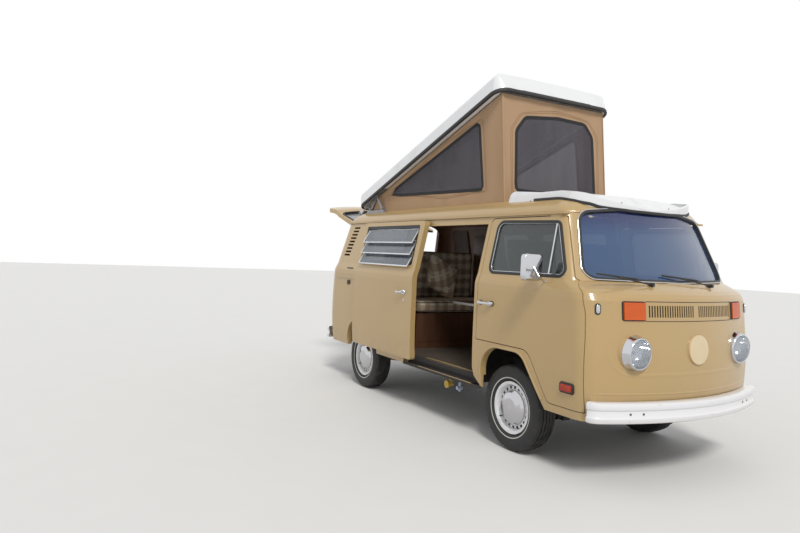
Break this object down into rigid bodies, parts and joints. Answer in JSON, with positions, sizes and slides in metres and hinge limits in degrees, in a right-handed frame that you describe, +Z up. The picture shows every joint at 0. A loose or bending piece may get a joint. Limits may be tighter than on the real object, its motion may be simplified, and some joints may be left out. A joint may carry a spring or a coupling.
{
  "type": "camper van",
  "caption": "Camper van with a rear-hinged lifting roof raised on a tent, sliding side door and tailgate open, turning and steered wheels, cab doors and engine lid.",
  "frame": {"origin": "on the ground under the middle of the van's box as it stands, tailgate up", "axes": "+X forward, +Y to the van's left, +Z up"},
  "size_m": [5.0461, 2.1, 2.9901],
  "materials": {
    "body_paint": "gloss tan enamel",
    "roof_white": "white glass-fibre moulding",
    "cab_roof_paint": "gloss tan enamel",
    "floor_black": "black underbody paint and rubber mat",
    "window_glass": "clear glass with a green tint",
    "bumper_white": "white enamel",
    "chrome": "polished",
    "lamp": "fluted lens in a chrome ring",
    "amber": "amber lens",
    "tail_red": "red lens",
    "black_trim": "black",
    "louvre_glass": "clear glass blades",
    "alloy": "satin",
    "canvas": "tan canvas with dark mesh windows",
    "dash_black": "grained black",
    "seat_cloth": "brown vinyl",
    "plaid": "beige and brown plaid",
    "walnut": "dark walnut laminate",
    "table_wood": "walnut laminate",
    "axle_black": "black-painted steel",
    "engine_metal": "cast",
    "exhaust_steel": "dull",
    "rim_white": "white rim with a bright cap",
    "tyre": "black rubber"
  },
  "bodies": {
    "body": {"air_grille": "body_paint", "bench": "walnut", "bench_cushions": "plaid", "cab_seats": "seat_cloth", "chassis_rails": "floor_black", "dashboard": "dash_black", "engine": "engine_metal", "exhaust": "exhaust_steel", "floor": "floor_black", "front_axle": "axle_black", "front_bumper": "bumper_white", "front_panel": "body_paint", "headlamps": "lamp", "kitchen_cabinet": "walnut", "louvre_blades": "louvre_glass", "louvre_frame": "black_trim", "luggage_tray": "roof_white", "nose_disc": "bumper_white", "rear_axle": "axle_black", "rear_bumper": "bumper_white", "roof": "cab_roof_paint", "roof_brackets": "alloy", "seat_boxes": "floor_black", "side_glass": "window_glass", "side_left": "body_paint", "side_right": "body_paint", "sliding_door": "body_paint", "table": "table_wood", "tail_lamps": "tail_red", "tail_panel": "body_paint", "tent": "canvas", "turn_signals": "amber", "wardrobe": "walnut", "water_outlets": "black_trim", "wheel_boxes": "floor_black", "windscreen": "window_glass", "wipers": "black_trim"},
    "cab_door_left": {"cab_door_left": "body_paint", "cab_glass_left": "window_glass", "mirror_left": "chrome"},
    "cab_door_right": {"cab_door_right": "body_paint", "cab_glass_right": "window_glass", "mirror_right": "chrome"},
    "tailgate": {"tailgate": "body_paint", "tailgate_glass": "window_glass"},
    "engine_lid": {"engine_lid": "body_paint"},
    "lifting_roof": {"lifting_roof": "roof_white"},
    "link_front": {"link_front": "alloy"},
    "link_rear": {"link_rear": "alloy"},
    "steering_wheel": {"steering_wheel": "dash_black"},
    "knuckle_left": {"knuckle_left": "axle_black"},
    "knuckle_right": {"knuckle_right": "axle_black"},
    "wheel_front_left": {"rim_front_left": "rim_white", "tyre_front_left": "tyre"},
    "wheel_front_right": {"rim_front_right": "rim_white", "tyre_front_right": "tyre"},
    "wheel_rear_left": {"rim_rear_left": "rim_white", "tyre_rear_left": "tyre"},
    "wheel_rear_right": {"rim_rear_right": "rim_white", "tyre_rear_right": "tyre"}
  },
  "joints": [
    {"name": "steer_left", "type": "hinge", "parent": "body", "child": "knuckle_left", "pos_m": [1.464, 0.618, 0.322], "axis": [0, 0, 1], "range_deg": [-28, 28]},
    {"name": "steer_right", "type": "hinge", "parent": "body", "child": "knuckle_right", "pos_m": [1.464, -0.618, 0.322], "axis": [0, 0, 1], "range_deg": [-28, 28]},
    {"name": "steering_wheel_turn", "type": "hinge", "parent": "body", "child": "steering_wheel", "pos_m": [1.794, 0.37, 1.15], "axis": [-0.4695, 0, 0.8829], "range_deg": [-504, 504]},
    {"name": "wheel_front_left_spin", "type": "hinge", "parent": "knuckle_left", "child": "wheel_front_left", "pos_m": [1.464, 0.697, 0.322], "axis": [0, 1, 0], "continuous": true},
    {"name": "wheel_front_right_spin", "type": "hinge", "parent": "knuckle_right", "child": "wheel_front_right", "pos_m": [1.464, -0.697, 0.322], "axis": [0, 1, 0], "continuous": true},
    {"name": "wheel_rear_left_spin", "type": "hinge", "parent": "body", "child": "wheel_rear_left", "pos_m": [-0.936, 0.727, 0.322], "axis": [0, 1, 0], "continuous": true},
    {"name": "wheel_rear_right_spin", "type": "hinge", "parent": "body", "child": "wheel_rear_right", "pos_m": [-0.936, -0.727, 0.322], "axis": [0, 1, 0], "continuous": true},
    {"name": "cab_door_left_hinge", "type": "hinge", "parent": "body", "child": "cab_door_left", "pos_m": [2.214, 0.855, 0.9], "axis": [0, 0, -1], "range_deg": [0, 65]},
    {"name": "cab_door_right_hinge", "type": "hinge", "parent": "body", "child": "cab_door_right", "pos_m": [2.214, -0.855, 0.9], "axis": [0, 0, 1], "range_deg": [0, 65]},
    {"name": "tailgate_hinge", "type": "hinge", "parent": "body", "child": "tailgate", "pos_m": [-1.74, 0, 1.804], "axis": [0, -1, 0], "range_deg": [0, 94]},
    {"name": "engine_lid_hinge", "type": "hinge", "parent": "body", "child": "engine_lid", "pos_m": [-1.934, 0, 0.955], "axis": [0, 1, 0], "range_deg": [0, 75]},
    {"name": "lifting_roof_hinge", "type": "hinge", "parent": "body", "child": "lifting_roof", "pos_m": [-1.626, 0, 1.898], "axis": [0, 1, 0], "range_deg": [0, 19.1], "deforming": ["tent"]},
    {"name": "link_front_hinge", "type": "hinge", "parent": "body", "child": "link_front", "pos_m": [-1.036, 0, 1.93], "axis": [0, -1, 0], "range_deg": [0, 46]},
    {"name": "link_rear_hinge", "type": "hinge", "parent": "body", "child": "link_rear", "pos_m": [-1.311, 0, 1.93], "axis": [0, 1, 0], "range_deg": [0, 47]}
  ],
  "couplings": [
    {"joint": "steer_right", "follows": "steer_left", "ratio": 1},
    {"joint": "steering_wheel_turn", "follows": "steer_left", "ratio": 18},
    {"joint": "link_front_hinge", "follows": "lifting_roof_hinge", "ratio": 2.4},
    {"joint": "link_rear_hinge", "follows": "lifting_roof_hinge", "ratio": 2.45}
  ]
}
